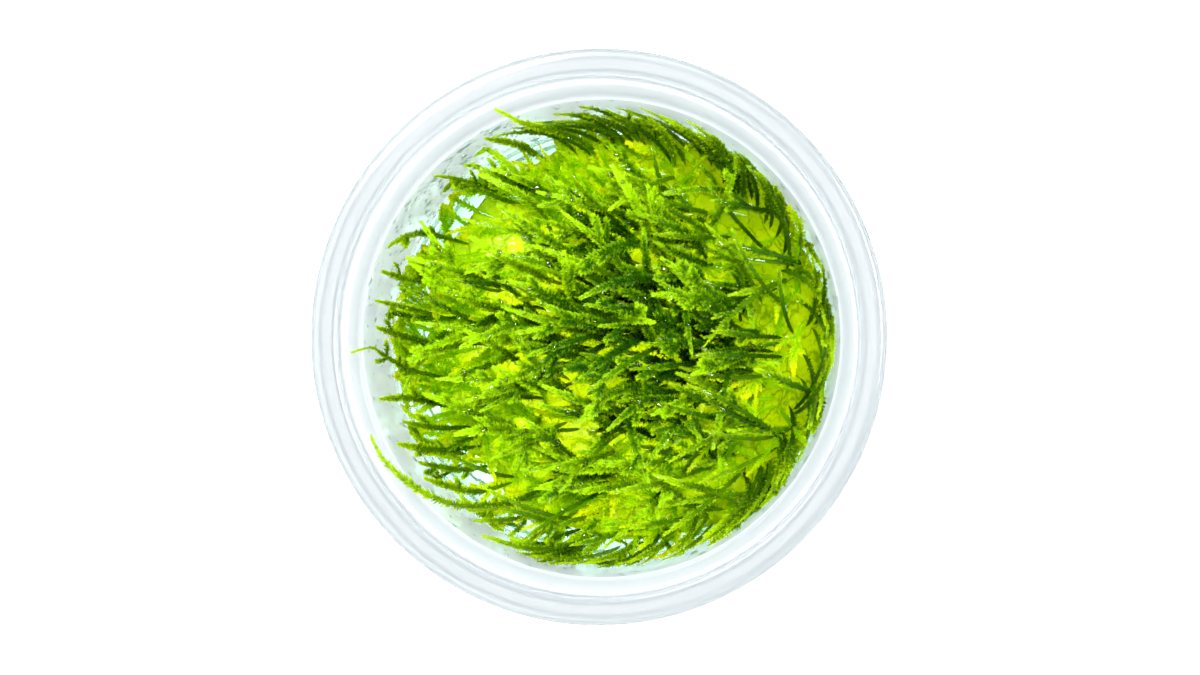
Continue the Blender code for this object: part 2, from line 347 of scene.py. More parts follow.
def add_piece(name, points, triangles, material, smooth=False, tone=None, stands_for=()):
    """One mesh piece on the body `root`. `tone` is a number for each point, for the material to read."""
    mesh = bpy.data.meshes.new(name)
    mesh.vertices.add(len(points))
    mesh.vertices.foreach_set("co", np.ascontiguousarray(points, np.float32).ravel())
    mesh.loops.add(3 * len(triangles))
    mesh.loops.foreach_set("vertex_index", np.ascontiguousarray(triangles, np.int32).ravel())
    mesh.polygons.add(len(triangles))
    mesh.polygons.foreach_set("loop_start", np.arange(0, 3 * len(triangles), 3, dtype=np.int32))
    mesh.polygons.foreach_set("use_smooth", np.full(len(triangles), smooth))
    mesh.update(calc_edges=True)
    if tone is not None:
        attribute = mesh.attributes.new("tone", "FLOAT", "POINT")
        attribute.data.foreach_set("value", np.ascontiguousarray(tone, np.float32))
    mesh.materials.append(material)
    piece = bpy.data.objects.new(name, mesh)
    bpy.context.scene.collection.objects.link(piece)
    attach(piece, "root")
    if stands_for:
        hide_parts(*stands_for)
    return piece


def ring_angles(count):
    return np.linspace(0, 2 * np.pi, count, endpoint=False)


def carried(profile, angles):
    """A profile of (radius, height) points, carried round the axis: a ring for each of its points."""
    profile = np.asarray(profile)
    flat = toward(angles, profile[:, :1])
    return with_height(flat, np.broadcast_to(profile[:, 1:], flat.shape[:2]))


def arc(centre, radius, start, end, steps=8):
    """Points on an arc, angles in degrees: centre + radius * (cosine, sine)."""
    angles = np.radians(np.linspace(start, end, steps + 1))
    return [(centre[0] + radius * math.cos(a), centre[1] + radius * math.sin(a)) for a in angles]


# %% [markdown]
# ## The cup
# The cup is one thin moulding of clear plastic. It is turned from a profile with a small round at every
# corner, because a clear piece is seen by its corners: they bend the light most, and show as the fine
# blue-grey rings. The plastic isn't as clear as glass. It is transmission with a faint tint in its depth,
# mixed with a share of translucent white for the haze in the plastic, which softens the rings and grows
# from the thin floor to the thick rim. Inside, below the ledge, the wall is fogged: dimpled and rough.


# %% The cup's profile
def cup_profile():
    """Across the floor's top, up the inside, over the ledge and rim, and down the outside to the axis."""
    high, rim, neck = CUP_HEIGHT, RIM_RADIUS, NECK_RADIUS
    skirt_end = high - 4.7 * MM
    fillet = FLOOR_TOP + FLOOR_FILLET
    profile = [(0.0, FLOOR_TOP)] + [(FLOOR_RADIUS * s, FLOOR_TOP) for s in (0.3, 0.6, 0.85, 0.97)]
    profile += arc((FLOOR_RADIUS, fillet), FLOOR_FILLET, -90, -5)
    heights = np.linspace(WALL_FOOT_HEIGHT + 0.4 * MM, WALL_TOP_HEIGHT - 0.3 * MM, 14)
    profile += [(wall_radius(height), height) for height in heights]
    profile += arc((WALL_TOP_RADIUS + 0.5 * MM, LEDGE_HEIGHT - 0.5 * MM), 0.5 * MM, 176, 90, 6)
    profile += arc((neck - 0.35 * MM, LEDGE_HEIGHT + 0.35 * MM), 0.35 * MM, -90, -2, 6)
    profile += arc((neck + 0.85 * MM, high - 0.7 * MM), 0.7 * MM, 172, 90, 8)
    profile += arc((rim - 0.7 * MM, high - 0.7 * MM), 0.7 * MM, 90, 0, 8)
    profile += arc((rim - 0.22 * MM, skirt_end + 0.22 * MM), 0.22 * MM, 0, -90, 4)
    profile += arc((rim - 0.68 * MM, skirt_end + 0.22 * MM), 0.22 * MM, -90, -180, 4)
    profile += arc((rim - 1.4 * MM, high - 1.5 * MM), 0.5 * MM, 0, 90, 5)
    profile += arc((neck + 1.45 * MM, high - 1.5 * MM), 0.5 * MM, 90, 178, 5)
    profile += arc((neck + 0.4 * MM, LEDGE_HEIGHT - 0.5 * MM), 0.5 * MM, -4, -90, 5)
    profile += arc((WALL_TOP_RADIUS + 1.5 * MM, LEDGE_HEIGHT - 1.5 * MM), 0.5 * MM, 90, 176, 5)
    heights = np.linspace(WALL_TOP_HEIGHT - 1.2 * MM, WALL_FOOT_HEIGHT, 14)
    profile += [(wall_radius(height) + WALL, height) for height in heights]
    profile += arc((26.35 * MM, 1.5 * MM), 1.5 * MM, 25, -90, 8)
    profile += arc((25.1 * MM, 0.2 * MM), 0.2 * MM, -90, -180, 3)
    profile += [(24.6 * MM, 0.8 * MM), (24.2 * MM, 0.9 * MM), (15 * MM, 0.9 * MM), (0.0, 0.9 * MM)]
    return profile


# %% Clear plastic
PLASTIC_INDEX = 1.49
PLASTIC_TINT = (0.08, 0.36, 0.45)
PLASTIC_DEPTH = 11.0
MILK = (0.84, 0.87, 0.895)
FLOOR_HAZE = 0.08  # the share of light that the plastic scatters on its way through the cup's floor
RIM_HAZE = 0.60  # and through its rim
LEDGE_HAZE = 0.28  # what the thick corner at the ledge adds to that
NECK_CLEARNESS = 0.40  # what the sharp corner at the neck takes away
FOGGED_TINT = (0.74, 0.92, 0.94)
FOG_ROUGHNESS = 0.16  # what the fog adds to the plastic's own
PLASTIC_ROUGHNESS = 0.06


def clear_plastic():
    look = Look("clear_plastic")
    vector, x, y, z = look.place()
    from_axis = look.from_axis(x, y)
    inner_side = (from_axis - z * WALL_SLOPE) < (wall_radius(0.0) + 0.4 * WALL)
    fogged = inner_side * (z < LEDGE_HEIGHT - 0.6 * MM) * (z > GEL_TOP)
    patches = look.ramp(look.noise(vector, 180.0, 3.0), [(0.40, grey(0.15)), (0.62, grey(1.0))])
    fog = fogged * patches
    dimples = look.noise(vector, 2600.0, 2.0) * fog
    tints = {0: fogged, 6: grey(1.0), 7: FOGGED_TINT}
    tinted = look.node("ShaderNodeMix", {"data_type": "RGBA"}, tints)[2]
    shine = {"Base Color": tinted, "Transmission Weight": 1.0, "IOR": PLASTIC_INDEX}
    rough = fog * FOG_ROUGHNESS + PLASTIC_ROUGHNESS
    shine |= {"Roughness": rough, "Normal": look.bump(dimples, 0.05 * MM, 0.7)}
    clear = look.principled(shine)
    milk = look.translucent(MILK)
    near_ledge = (z > LEDGE_HEIGHT - 1.8 * MM) * (z < LEDGE_HEIGHT + 0.6 * MM)
    near_neck = (from_axis > NECK_RADIUS - 0.3 * MM) * (from_axis < NECK_RADIUS + 0.4 * MM)
    haze = z * ((RIM_HAZE - FLOOR_HAZE) / CUP_HEIGHT) + FLOOR_HAZE
    haze = haze + near_ledge * LEDGE_HAZE - near_neck * NECK_CLEARNESS
    return look.finish(look.mix(haze, clear, milk), look.tinted_depth(PLASTIC_TINT, PLASTIC_DEPTH))


points, triangles = skin(carried(cup_profile(), ring_angles(256))[None])
add_piece("clear_cup", points, triangles, clear_plastic(), True, None, ["cup"])
print("cup:", len(triangles), "triangles")

# %% [markdown]
# ## The jelly
# The disc of jelly is clear and wet, a little green, and its top isn't flat: it sags between lumps and
# climbs the wall by a fraction of a millimetre. It is a grid in polar coordinates whose height is a sum
# of a few slow waves, closed below by the cup's own floor shape.


# %% The gel's disc
GEL_INDEX = 1.34
GEL_TINT = (0.55, 0.95, 0.72)
GEL_DEPTH = 6.0
GEL_MINT = [(0.50, (0.95, 0.99, 0.96)), (0.68, (0.78, 0.92, 0.83)), (0.82, (0.42, 0.70, 0.54))]


def waves(x, y, size, count, seed):
    """A smooth random height, about -1 to 1: the mean of sine waves that run in random directions."""
    source = np.random.default_rng(seed)
    total = np.zeros(np.broadcast(x, y).shape)
    for _ in range(count):
        angle, phase = source.uniform(0, 2 * np.pi, 2)
        length = size * source.uniform(0.7, 1.6)
        total += np.sin(2 * np.pi * (x * np.cos(angle) + y * np.sin(angle)) / length + phase)
    return total / math.sqrt(count)


def gel_rings(segments=192):
    gap = 0.02 * MM
    edge = wall_radius(GEL_TOP) - gap
    angles = ring_angles(segments)
    shares = np.linspace(0, 1, 60)[:, None] ** 0.8
    flat = toward(angles, shares * edge)
    x, y = flat[..., 0], flat[..., 1]
    rough = 0.22 * MM * waves(x, y, 7 * MM, 9, 3) + 0.06 * MM * waves(x, y, 2.2 * MM, 9, 4)
    climb = 0.7 * MM * np.clip((shares - 0.95) / 0.05, 0, 1) ** 2
    height = GEL_TOP - 0.3 * MM + rough * (1 - shares**12) + climb
    below = [(edge, GEL_TOP - 0.9 * MM)] + [(wall_radius(h * MM) - gap, h * MM) for h in (8, 6, 4.2)]
    below += arc((FLOOR_RADIUS, FLOOR_TOP + FLOOR_FILLET), FLOOR_FILLET - gap, -8, -90)
    below += [(12 * MM, FLOOR_TOP + gap), (0.0, FLOOR_TOP + gap)]
    return np.concatenate([with_height(flat, height), carried(below, angles)])


def clear_gel():
    look = Look("nutrient_gel")
    vector, x, y, _ = look.place()
    wet = look.noise(vector, 420.0, 3.0, 0.6)
    from_axis = look.from_axis(x, y)
    mint = look.ramp(from_axis / wall_radius(GEL_TOP), GEL_MINT)
    shine = {"Base Color": mint, "Transmission Weight": 1.0, "IOR": GEL_INDEX}
    shine |= {"Roughness": wet * 0.08, "Normal": look.bump(wet, 0.15 * MM, 0.5)}
    return look.finish(look.principled(shine), look.tinted_depth(GEL_TINT, GEL_DEPTH))


points, triangles = skin(gel_rings()[None])
add_piece("gel_disc", points, triangles, clear_gel(), True, None, ["nutrient_gel"])
print("gel:", len(triangles), "triangles")

# %% [markdown]
# ## The mat
# Old stems, threads and jelly have grown into one lumpy, soggy pad, which glows yellow-green in the light
# from below. It is a polar grid again. Its lumps are a cell pattern: each point looks up its nearest and
# second nearest of some random centres, and the surface dips where both are equally near. The dip is also
# kept as the tone, so the material can darken the creases with painted shade. The tone falls in the middle
# too, a painted shade for the thick growth above it. Everywhere but on the left, the pad creeps up the
# wall, and its rim there is dark.

# %% The pad's shape
# The direction in degrees, then the reach or the climb in millimetres. Between them both change evenly.
PAD_REACH = {
    0: 26.8, 45: 26.4, 90: 25.6, 135: 24.0, 180: 23.6, 225: 22.6, 260: 24.2, 300: 26.0, 360: 26.8,
}
PAD_CLIMB = {0: 14, 45: 13, 80: 10, 108: 4, 130: 0, 235: 0, 258: 3, 290: 8, 330: 13, 360: 14}
LUMP = 5.2 * MM
SMALL_LUMP = 2.1 * MM
SHADE_MIDDLE_REACH = 13.5 * MM
RIM_CLIMB = 8 * MM  # where the pad climbs this high, its rim is fully dark


def between(table, angle):
    """The pad's reach from the axis or its climb up the wall in a direction, in metres."""
    return np.interp(np.degrees(angle) % 360, list(table), list(table.values())) * MM


def cells(x, y, spacing, seed):
    """How deep inside its cell each point is, 0 at the border: distance to the second nearest centre minus
    distance to the nearest, over the spacing."""
    source = np.random.default_rng(seed)
    count = int((56 * MM / spacing) ** 2)
    centres = source.uniform(-28 * MM, 28 * MM, (count, 2))
    away = np.hypot(x[..., None] - centres[:, 0], y[..., None] - centres[:, 1])
    nearest = np.partition(away, 1, axis=-1)
    return (nearest[..., 1] - nearest[..., 0]) / spacing


def pad_height(x, y):
    """The pad's top: a low dome with lumps of two sizes, dipping along the borders between lumps."""
    angle = np.arctan2(y, x)
    share = np.clip(np.hypot(x, y) / between(PAD_REACH, angle), 0, 1)
    lumps = 0.9 * MM * np.sqrt(np.clip(cells(x, y, LUMP, 21), 0, 1))
    small = 0.35 * MM * np.sqrt(np.clip(cells(x, y, SMALL_LUMP, 22), 0, 1))
    dome = (1.1 * MM + lumps + small) * (1 - share**6)
    return GEL_TOP + dome + between(PAD_CLIMB, angle) * share**3


def pad_rings(segments=220):
    angles = ring_angles(segments)
    ragged = 0.025 * waves(26 * np.cos(angles), 26 * np.sin(angles), 11, 8, 5)
    edge = np.minimum(between(PAD_REACH, angles) * (1 + ragged), wall_radius(GEL_TOP) - 0.3 * MM)
    climb = between(PAD_CLIMB, angles)
    shares = np.linspace(0, 1, 110)[:, None]
    flat = toward(angles, shares * edge)
    x, y = flat[..., 0], flat[..., 1]
    top = with_height(flat + toward(angles, climb * WALL_SLOPE * shares**3), pad_height(x, y))
    sunk = 0.985 * flat[::-8]
    sunk[-1] = 0.0
    under = with_height(sunk, np.full(sunk.shape[:2], GEL_TOP - 0.15 * MM))
    # Painted shade: the creases are darkened, and so is the middle, for the thick growth shading the pad
    # there.
    middle_shade = np.exp(-(np.hypot(x - SHADE_MIDDLE_X, y - SHADE_MIDDLE_Y) / SHADE_MIDDLE_REACH) ** 4)
    rim = np.clip(shares * 12 - 11, 0, 1) * np.clip(climb / RIM_CLIMB, 0, 1)
    tone = cells(x, y, LUMP, 21) - 0.9 * middle_shade - 0.8 * rim
    return np.concatenate([top, under]), np.concatenate([tone, np.full(sunk.shape[:2], 0.5)])


def per_point(tone):
    """A tone for each ring point, in the order in which `skin` lists the points."""
    return np.concatenate([tone[1:-1].ravel(), [tone[0, 0], tone[-1, 0]]])


# %% The pad's finish
PAD_FACES = [(0.0, (0.08, 0.16, 0.0)), (0.5, (0.66, 0.78, 0.0)), (1.0, (0.90, 0.98, 0.01))]
PAD_GLOW = [(0.0, grey(0.0)), (0.28, grey(0.6)), (0.62, grey(1.0))]  # the bright glow's share
DULL_GLOW = (0.46, 0.60, 0.0)
BRIGHT_GLOW = (0.86, 1.0, 0.002)
UNDERSIDE = (0.97, 1.0, 0.80)
PAD_THROUGH = 0.82  # the share of light that the pad lets through


def old_moss():
    """Clear lumps between dark threads and creases of painted shade: both lit colour and glow follow how
    clear.
    """
    look = Look("old_moss")
    vector, _, _, z = look.place()
    crease_and_middle_shade = look.node("ShaderNodeAttribute", {"attribute_name": "tone"})[2]
    veins = look.noise(vector, 900.0, 4.0, 0.7)
    thick = look.noise(vector, 160.0, 3.0)
    noise = {"Vector": vector, "Scale": 240.0, "Detail": 4.0}
    shift = look.node("ShaderNodeTexNoise", None, noise)[1]
    warp = {0: shift, 1: (6 * MM, 6 * MM, 6 * MM), 2: vector}
    warped = look.node("ShaderNodeVectorMath", {"operation": "MULTIPLY_ADD"}, warp)[0]
    # The tone brings the painted shade of the creases and of the middle into how clear the pad looks.
    clear = crease_and_middle_shade * 0.7 + veins * 0.9 + thick * 0.9 - 0.36
    for scale, darkest, width in ((260.0, 0.0, 0.16), (620.0, 0.45, 0.14)):
        sockets = {"Vector": warped, "Scale": scale}
        to_edge = look.node("ShaderNodeTexVoronoi", {"feature": "DISTANCE_TO_EDGE"}, sockets)[0]
        clear = clear * look.ramp(to_edge * 2.0, [(0.0, grey(darkest)), (width, grey(1.0))])
    normal = look.bump(veins * 0.35 + thick * 1.6, 0.6 * MM, 0.9)
    shine = {"Base Color": look.ramp(clear, PAD_FACES), "Roughness": 0.3, "Normal": normal}
    wet = look.principled(shine | {"Coat Weight": 1.0, "Coat Roughness": 0.04})
    dull = look.translucent(DULL_GLOW, Normal=normal)
    bright = look.translucent(BRIGHT_GLOW, Normal=normal)
    pad = look.mix(PAD_THROUGH, wet, look.mix(look.ramp(clear, PAD_GLOW), dull, bright))
    below = z < GEL_TOP - 0.05 * MM
    return look.finish(look.mix(below, pad, look.translucent(UNDERSIDE)))


rings, tone = pad_rings()
points, triangles = skin(rings[None])
add_piece("stem_pad", points, triangles, old_moss(), True, per_point(tone), ["stem_mat"])
print("pad:", len(triangles), "triangles")

# %% [markdown]
# ## A leafy shoot
# A shoot of this moss is a thin stem with small pointed leaves all round it, spread mostly into one
# plane, so it looks like a flat feather. Each leaf is a closed sliver of four triangles, with a ridge above
# and a keel across below, and all leaves of a tuft are worked out together, as arrays.
#
# Each leaf stands a golden angle on from the last, so no two are in one line. The leaves lean forward along
# the stem, they are longest at the middle of the shoot, and their faces lie in the feather's plane.

# %% Stems and leaves
GOLDEN = math.radians(137.508)
LEAF_HALF_WIDTH = 0.21  # of the leaf's length
FLATTENED = 0.5  # how far leaves stand out of the feather's plane, against how far they spread in it
AGE_AND_SHADE_AT = [0, 0.55, 0.8, 1]
AGE_AND_SHADE_ADDS = [-0.28, -0.10, 0.08, 0.40]  # added to the tone along a shoot: paler young tips, with painted light, and painted shade at the foot
SPREAD_AT = [0, 0.7, 1]
SPREADS = [62, 52, 22]  # degrees between leaf and stem
REACH_AT = [0, 0.12, 0.5, 0.8, 1]
REACHES = [0.6, 0.85, 1.0, 0.95, 0.62]  # leaf lengths, of the longest
GIRTH_AT = [0, 0.2, 0.6, 1]
GIRTHS = [0.6, 1, 0.9, 0.25]  # stem radii, of the thickest
LEAF_LIGHT_AND_SHADE = np.array([-0.24, 0.34, 0.04, 0.04])  # added to the tone at a leaf's base, tip and two sides: painted shade at the base, painted light at the tip
CROWDED_TIP = 0.62  # under 1, leaves stand closer towards the tip


def along(routes, shares):
    """Points on routes at shares of their length: straight between a route's points.

    `routes` is (shoots, points, 3) and `shares` (shoots, places).
    """
    last = routes.shape[1] - 1
    at = np.clip(shares * last, 0, last - 1e-6)
    low = at.astype(int)
    rows = np.arange(len(routes))[:, None]
    part = (at - low)[..., None]
    return routes[rows, low] * (1 - part) + routes[rows, low + 1] * part


def level_route(start, direction, ahead, aside):
    """Level points: from a start, some way ahead in a direction, and some way to the left of it."""
    forward = start[:, None] + direction[:, None] * ahead[..., None]
    return forward + left_of(direction)[:, None] * aside[..., None]


def stems(routes, thickness, tones, sides=6):
    """Tapered stems, thick enough to stand for the leaf bases that hug them: rings round each route,
    closed to a point at both ends."""
    ahead = unit(np.gradient(routes, axis=1))
    side = unit(np.cross(ahead, np.array([0.31, 0.83, 0.47])))
    up = np.cross(side, ahead)
    angles = -ring_angles(sides)[:, None]
    shares = np.linspace(0, 1, routes.shape[1])
    radius = thickness * np.interp(shares, GIRTH_AT, GIRTHS) * (shares > 0) * (shares < 1)
    turn = np.cos(angles) * side[:, :, None] + np.sin(angles) * up[:, :, None]
    rings = routes[:, :, None] + radius[None, :, None, None] * turn
    points, triangles = skin(rings)
    # Stems are a little darker than their leaves: painted shade between the leaves.
    age_and_shade = tones[:, None] + np.interp(shares, AGE_AND_SHADE_AT, AGE_AND_SHADE_ADDS) - 0.08
    around = np.repeat(age_and_shade[:, 1:-1], sides, axis=1)
    return points, triangles, np.clip(np.concatenate([around, age_and_shade[:, [0, -1]]], 1), 0, 1).ravel()


def leaves(routes, lateral, count, length, first_share, tones, crowd=1.0):
    """All leaves of a set of shoots.

    The k-th leaf of a shoot sits at the share (k / count) to the power `crowd`, and is turned by k golden
    angles about the stem. Its direction is forward times the cosine plus outward times the sine of its
    spread, where outward is flattened into the feather's plane. Its sides lie across the plane's normal.
    `lateral` is the plane's sideways direction.
    """
    shoots = len(routes)
    k = np.arange(count)
    place = (k + rng.uniform(0.1, 0.9, (shoots, count))) / count
    shares = first_share + (1 - first_share) * place**crowd
    base = along(routes, shares)
    ahead = unit(along(routes, np.minimum(shares + 0.03, 1.0)) - along(routes, shares - 0.03))
    side = unit(lateral[:, None] - np.sum(lateral[:, None] * ahead, -1, keepdims=True) * ahead)
    normal = np.cross(ahead, side)
    normal *= np.where(normal[..., 2:] < 0, -1, 1)
    turn = k * GOLDEN + rng.uniform(0, 2 * np.pi, (shoots, 1)) + rng.normal(0, 0.25, (shoots, count))
    outward = unit(np.cos(turn)[..., None] * side + FLATTENED * np.sin(turn)[..., None] * normal)
    spread = np.radians(np.interp(shares, SPREAD_AT, SPREADS)) + rng.normal(0, 0.13, (shoots, count))
    forward = np.cos(spread)[..., None] * ahead + np.sin(spread)[..., None] * outward
    reach = length * np.interp(shares, REACH_AT, REACHES) * rng.uniform(0.75, 1.2, (shoots, count))
    reach = (reach * rng.uniform(0.75, 1.3, (shoots, 1)))[..., None]
    tilt = unit(normal + 0.45 * rng.normal(0, 1, (shoots, count, 3)))
    across = unit(np.cross(tilt, forward)) * reach * LEAF_HALF_WIDTH
    above = unit(np.cross(forward, across))
    tip = base + forward * reach + above * reach * rng.uniform(-0.16, 0.05, (shoots, count, 1))
    middle = base + forward * reach * 0.42 - above * reach * 0.07
    points = np.stack([base, tip, middle + across, middle - across], 2)
    one = np.array([[0, 1, 2], [1, 0, 3], [0, 2, 3], [1, 3, 2]])
    triangles = (one[None] + 4 * np.arange(shoots * count)[:, None, None]).reshape(-1, 3)
    # Along the shoot: paler young tips with painted light, and painted shade at the foot.
    age_and_shade = tones[:, None] + np.interp(shares, AGE_AND_SHADE_AT, AGE_AND_SHADE_ADDS)
    age_and_shade = age_and_shade + rng.normal(0, 0.11, (shoots, count))
    return points.reshape(-1, 3), triangles, np.clip(age_and_shade[..., None] + LEAF_LIGHT_AND_SHADE, 0, 1).ravel()


def side_shoots(routes, lateral, starts, lengths, angles):
    """Short side branches: each leaves its shoot at a share of it, at an angle in the feather's plane, and
    bends back towards the shoot's own direction."""
    starts = starts[:, None]
    base = along(routes, starts)[:, 0]
    ahead = unit(along(routes, starts + 0.04)[:, 0] - along(routes, starts - 0.04)[:, 0])
    side = unit(lateral - np.sum(lateral * ahead, -1, keepdims=True) * ahead)
    normal = np.cross(ahead, side)
    lift = rng.uniform(-0.2, 0.25, (len(routes), 1)) * normal
    out = unit(np.cos(angles)[:, None] * ahead + np.sin(angles)[:, None] * side + lift)
    share = np.linspace(0, 1, 5)[None, :, None]
    bent = out[:, None] * (1 - 0.35 * share) + ahead[:, None] * 0.35 * share
    return base[:, None] + bent * share * lengths[:, None, None]


def keep_inside(routes, margin=0.9 * MM):
    """Moves points that would pass the wall back to it. Above the ledge, the limit is the neck."""
    z = routes[..., 2]
    wall = np.minimum(wall_radius(z), WALL_TOP_RADIUS)
    limit = np.where(z > LEDGE_HEIGHT + 0.8 * MM, NECK_RADIUS - 0.2 * MM, wall) - margin
    reach = np.hypot(routes[..., 0], routes[..., 1])
    routes = routes.copy()
    routes[..., :2] *= np.minimum(1, limit / np.maximum(reach, 1e-6))[..., None]
    return routes


# %% [markdown]
# ## The leaf's finish
# A moss leaf is one cell thick. It passes about as much light as it throws back, so the finish mixes a
# wet, glossy surface with a translucent one, which is yellower. The tone kept in the mesh is light at a
# shoot's tip, where the young growth is paler and painted light is added, and dark at its foot, a painted
# shade deep in the thatch. Leaf bases and stems are darkened with painted shade too, and leaf tips lit
# with painted light. The translucent side is itself a mix of a dark and a light one, so that the tone
# steers both.


# %% Living moss
def living_moss(name, faces, glow_dark, glow_light, through):
    """`faces` are the lit colours from dark to light, the glows are the colours that come through, and
    `through` is the share of the light that does."""
    look = Look(name)
    vector = look.place()[0]
    tone = look.node("ShaderNodeAttribute", {"attribute_name": "tone"})[2]
    mottle = look.noise(vector, 700.0, 2.0) * 0.35 + look.noise(vector, 90.0, 2.0) * 0.35 - 0.35
    tone = tone + mottle
    face = look.ramp(tone, list(zip((0.0, 0.5, 1.0), faces)))
    shine = {"Base Color": face, "Roughness": 0.55, "Specular IOR Level": 0.1}
    shine |= {"Coat Weight": 0.8, "Coat Roughness": 0.04}
    share = look.ramp(tone, [(0.05, grey(0.0)), (0.5, grey(0.48)), (0.9, grey(1.0))])
    lit = look.mix(share, look.translucent(glow_dark), look.translucent(glow_light))
    return look.finish(look.mix(through, look.principled(shine), lit))


young_moss = living_moss(
    "young_moss", [(0.005, 0.038, 0.0), (0.056, 0.24, 0.0), (0.52, 0.84, 0.006)],
    (0.08, 0.32, 0.0), (0.93, 1.0, 0.004), 0.60,
)
tip_moss = living_moss(
    "tip_moss", [(0.014, 0.056, 0.0), (0.09, 0.28, 0.0), (0.54, 0.80, 0.004)],
    (0.15, 0.36, 0.0), (0.94, 1.0, 0.0), 0.62,
)
# A lighter copy of the moss: painted light, for the table's glow coming up through the pad onto the low
# stems.
backlit_painted_moss = living_moss(
    "backlit_painted_moss", [(0.09, 0.24, 0.0), (0.50, 0.76, 0.0), (0.92, 0.98, 0.012)],
    (0.62, 0.90, 0.0), (1.0, 1.0, 0.012), 0.80,
)
print("three finishes of living moss")

# %% [markdown]
# ## The tufts
# Each tuft is a group of shoots from one place, fullest in the crowded middle. They rise close together
# and bend over near the top, nearly all to the left, so what shows from above is a thatch of feather tips.
# A tuft's foot and tip are read from its solid. A few shoots of every tuft stray, because a thatch that is
# combed all one way looks like a lawn.

# %% Grow the tufts
SHOOTS_IN_TUFT = {"middle": 19, "edge": 6}
STRAYS = 0.15  # the share of a tuft's shoots that lean any way
SHOOT_POINTS = 11
LEAVES_ON_SHOOT = 380
LEAVES_ON_SIDE_SHOOT = 70
LEAF_LENGTH = 0.73 * MM
BROADER = {"middle": 1.18, "edge": 1.05}  # a tuft's leaves, of that length
MIDDLE = (4 * MM, 1 * MM)
MIDDLE_REACH = 10.5 * MM
STEM_RADIUS = 0.25 * MM
BEADS_TO_A_SHOOT = 6


def heading_at(y):
    """The way a shoot leans, in radians: to the left, and a little away from the cup's middle line."""
    return np.radians(172 - 1.1 * y / MM)


def painted_shade_at(x, y):
    """What a place adds to a shoot's tone: painted shade in the crowded middle, where the shoots shade
    each other, and painted light towards the edge, where the table's glow comes up through the pad.
    """
    return 0.40 * np.clip(np.hypot(x - SHADE_MIDDLE_X, y - SHADE_MIDDLE_Y) / (20 * MM), 0, 1.2) - 0.25


def ends_of(node):
    """The middle of a solid's lowest and of its highest points."""
    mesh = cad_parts[node].data
    co = np.empty(3 * len(mesh.vertices))
    mesh.vertices.foreach_get("co", co)
    co = co.reshape(-1, 3)
    height = co[:, 2]
    low = height < height.min() + 0.3 * MM
    high = height > height.max() - 0.3 * MM
    return co[low].mean(0), co[high].mean(0)


def tuft_routes(foot, tip, count):
    """Shoots of one tuft: sideways they go as the 1.6th power of the share of the way, and upwards they
    slow down, so that each starts upright and ends nearly level."""
    spread = np.sqrt(rng.uniform(0, 1, count)) * 4.2 * MM
    around = rng.uniform(0, 2 * np.pi, count)
    start = foot[:2] + toward(around, spread) + np.array([2.2 * MM, 0])
    width = np.where(rng.uniform(0, 1, count) < STRAYS, 1.2, 0.42)
    heading = heading_at(start[:, 1]) + rng.normal(0, 1, count) * width
    distance = rng.uniform(7.0, 14.0, count) * MM
    direction = toward(heading)
    top = tip[2] + 0.5 * MM - rng.uniform(0, 1, count) ** 1.4 * 9.0 * MM
    share = np.linspace(0, 1, SHOOT_POINTS)
    wiggle = 1.1 * MM * rng.normal(0, 1, (count, 1)) * np.sin(np.pi * share)
    flat = level_route(start, direction, distance[:, None] * share**1.6, wiggle)
    foot_height = foot[2] - 1.4 * MM
    rise = foot_height + (top[:, None] - foot_height) * (1 - (1 - share) ** 2.1)
    twist = rng.normal(0, 0.5, count)
    sideways = with_height(left_of(direction) * np.cos(twist)[:, None], np.sin(twist))
    return keep_inside(with_height(flat, rise)), sideways


def grow(name, finish, solid, routes, sideways, tones, leaf_count, length, first_share, branching):
    """Adds a set of shoots as one piece: stems, leaves and side branches. Gives its number of triangles.
    `branching` holds the mean number of branches on a shoot, and the shares of it where they start and
    end."""
    branches_each, branches_from, branches_to = branching
    parts = [stems(routes, STEM_RADIUS, tones)]
    parts.append(leaves(routes, sideways, leaf_count, length, first_share, tones, CROWDED_TIP))
    chosen = np.repeat(np.arange(len(routes)), rng.poisson(branches_each, len(routes)))
    if len(chosen):
        starts = rng.uniform(branches_from, branches_to, len(chosen))
        lengths = rng.uniform(1.6, 3.8, len(chosen)) * MM
        angles = np.radians(rng.uniform(32, 60, len(chosen))) * rng.choice([-1, 1], len(chosen))
        across = sideways[chosen]
        branches = side_shoots(routes[chosen], across, starts, lengths, angles)
        branches = keep_inside(branches, 0.6 * MM)
        parts.append(stems(branches, 0.6 * STEM_RADIUS, tones[chosen]))
        lighter = np.clip(tones[chosen] + 0.08, 0, 1)
        parts.append(leaves(branches, across, LEAVES_ON_SIDE_SHOOT, 0.85 * length, 0.05, lighter))
    points, triangles, tone = join(*parts)
    add_piece(name, points, triangles, finish, False, tone, [solid])
    return len(triangles)


